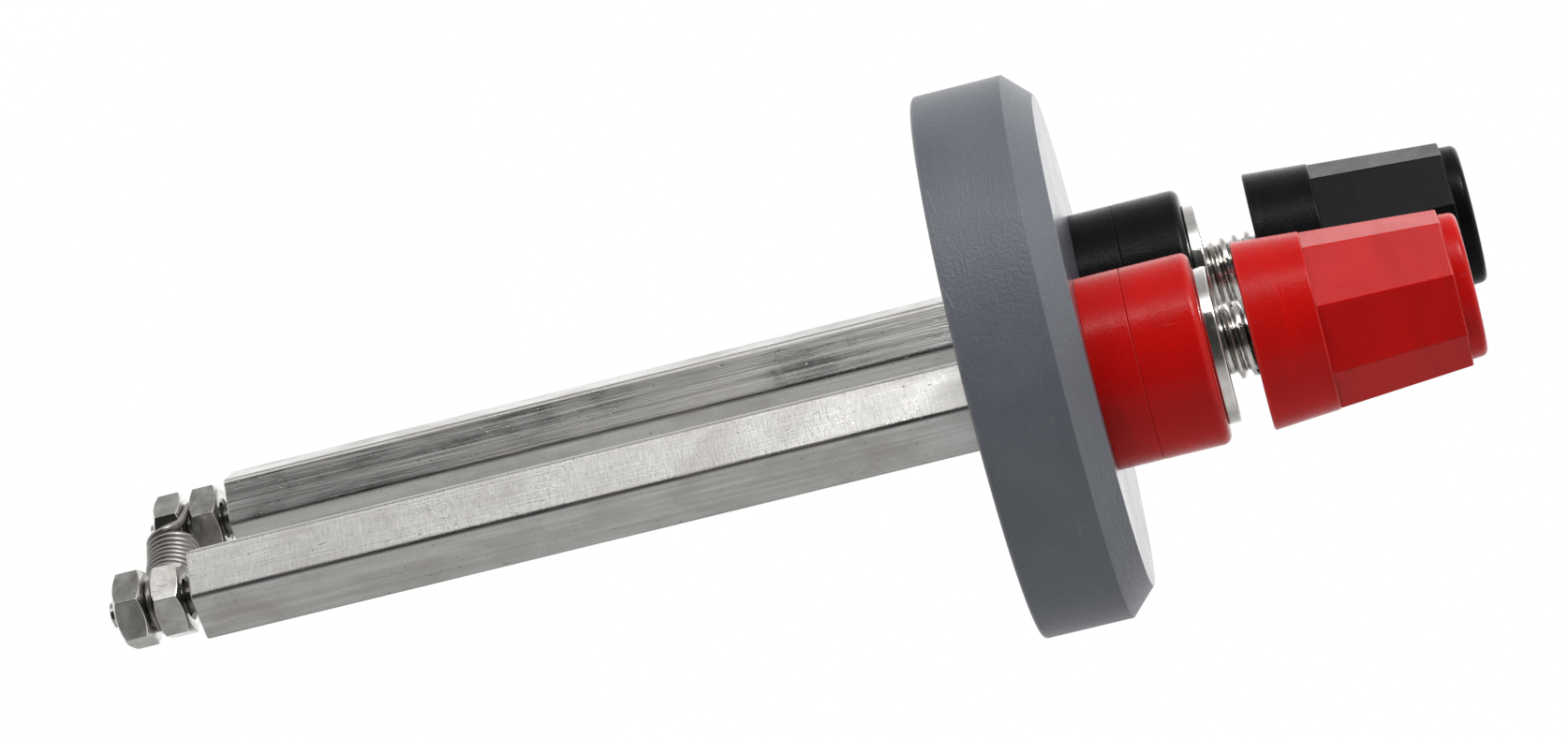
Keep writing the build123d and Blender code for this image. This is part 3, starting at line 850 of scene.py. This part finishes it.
def make_floor():
    """Pale disc below the object; the camera sees it as nearly even white."""
    level, radius = -76, 240
    angles = even_angles(96)
    rings = [ring(0, level, r, angles) for r in (0, radius)]
    floor = make_object("Floor", *skin(rings, False))
    floor.visible_glossy = False
    material, tree, shader = look("floor", Roughness=0.9, Base_Color=(0.8, 0.8, 0.8, 1))
    seen = node(tree, "ShaderNodeLightPath").outputs["Is Camera Ray"]
    pale = node(tree, "ShaderNodeEmission", {"Color": (1, 1, 1, 1), "Strength": 1.0})
    share = math_node(tree, "MULTIPLY", seen, 0.96)
    mixed = node(tree, "ShaderNodeMixShader", {0: share, 1: shader.outputs[0], 2: pale.outputs[0]})
    output = [n for n in tree.nodes if n.type == "OUTPUT_MATERIAL"][0]
    tree.links.new(mixed.outputs[0], output.inputs["Surface"])
    floor.data.materials.append(material)


def make_world():
    """Soft studio tent: brightness by degrees round the vertical axis, more overhead."""
    world = bpy.data.worlds.new("studio")
    bpy.context.scene.world = world
    world.use_nodes = True
    tree = world.node_tree
    tree.nodes.clear()
    direction = node(tree, "ShaderNodeTexCoord").outputs["Generated"]
    split = node(tree, "ShaderNodeSeparateXYZ", {"Vector": direction}).outputs
    around = math_node(tree, "ARCTAN2", split["Y"], split["X"])
    around = spread(tree, around, -math.pi, math.pi)
    ramp = node(tree, "ShaderNodeValToRGB", {"Fac": around})
    stops = [(-180, 1.5), (-160, 1.0), (-135, 0.55), (-105, 0.42), (-95, 0.7), (-84, 1.9),
             (-75.5, 2.5), (-72, 0.25), (-66, 0.04), (-40, 0.03), (4, 0.05), (20, 0.5),
             (42, 0.64), (75, 0.66), (105, 0.4), (135, 0.6), (160, 1.4), (180, 1.5)]
    scale = 2.0
    elements = ramp.color_ramp.elements
    while len(elements) > 1:
        elements.remove(elements[-1])
    for i, (degrees, level) in enumerate(stops):
        position = (degrees + 180) / 360
        element = elements[0] if i == 0 else elements.new(position)
        element.position = position
        element.color = (level / scale, level / scale, level / scale, 1)
    height = spread(tree, split["Z"], -0.3, 0.95)
    overhead = math_node(tree, "MULTIPLY", math_node(tree, "POWER", height, 3.0), 0.7)
    level = math_node(tree, "MULTIPLY", ramp.outputs["Color"], scale)
    level = math_node(tree, "ADD", level, overhead)
    tent = node(tree, "ShaderNodeBackground", {"Color": (1, 1, 1, 1), "Strength": level})
    white = node(tree, "ShaderNodeBackground", {"Color": (1, 1, 1, 1), "Strength": 1.0})
    seen = node(tree, "ShaderNodeLightPath").outputs["Is Camera Ray"]
    mixed = node(tree, "ShaderNodeMixShader", {0: seen, 1: tent.outputs[0], 2: white.outputs[0]})
    output = node(tree, "ShaderNodeOutputWorld")
    tree.links.new(mixed.outputs[0], output.inputs["Surface"])


def make_light(name, place_mm, target_mm, size_mm, watts):
    data = bpy.data.lights.new(name, "AREA")
    data.shape = "RECTANGLE"
    data.size, data.size_y = (s * MM for s in size_mm)
    data.energy = watts
    light = bpy.data.objects.new(name, data)
    bpy.context.scene.collection.objects.link(light)
    light.location = Vector(place_mm) * MM
    aim = Vector(target_mm) - Vector(place_mm)
    light.rotation_euler = aim.to_track_quat("-Z", "Y").to_euler()


def make_camera():
    """The photo's camera, rolled on its side; target and distance are in millimetres."""
    azimuth, elevation, roll = (math.radians(a) for a in (74.276, 6.385, 76.136))
    target = Vector((-14.905, 0.488, -16.753))
    distance, lens = 381.54, 106.12
    back = Vector((math.sin(azimuth) * math.cos(elevation), -math.cos(azimuth) * math.cos(elevation),
                   math.sin(elevation)))
    right = (-back).cross(Vector((0, 0, 1))).normalized()
    up = right.cross(-back)
    image_right = right * math.cos(roll) + up * math.sin(roll)
    image_up = up * math.cos(roll) - right * math.sin(roll)
    data = bpy.data.cameras.new("camera")
    data.lens, data.sensor_width = lens, 36.0
    data.clip_start, data.clip_end = 0.01, 10.0
    camera = bpy.data.objects.new("camera", data)
    bpy.context.scene.collection.objects.link(camera)
    camera.rotation_mode = "QUATERNION"
    camera.location = (target + back * distance) * MM
    axes = [[image_right[i], image_up[i], back[i]] for i in range(3)]
    camera.rotation_quaternion = Matrix(axes).to_quaternion()
    bpy.context.scene.camera = camera


make_floor()
make_world()
make_light("key", place_mm=(95, -292, 12), target_mm=(9, 0, 10), size_mm=(40, 18), watts=0.065)
make_light("cap_key", place_mm=(60, -300, 76), target_mm=(9, 0, 28), size_mm=(12, 12), watts=0.02)
make_light("fill", place_mm=(90, -300, 190), target_mm=(0, 0, -10), size_mm=(90, 90), watts=0.7)
make_camera()
bpy.context.scene.view_settings.view_transform = "Standard"
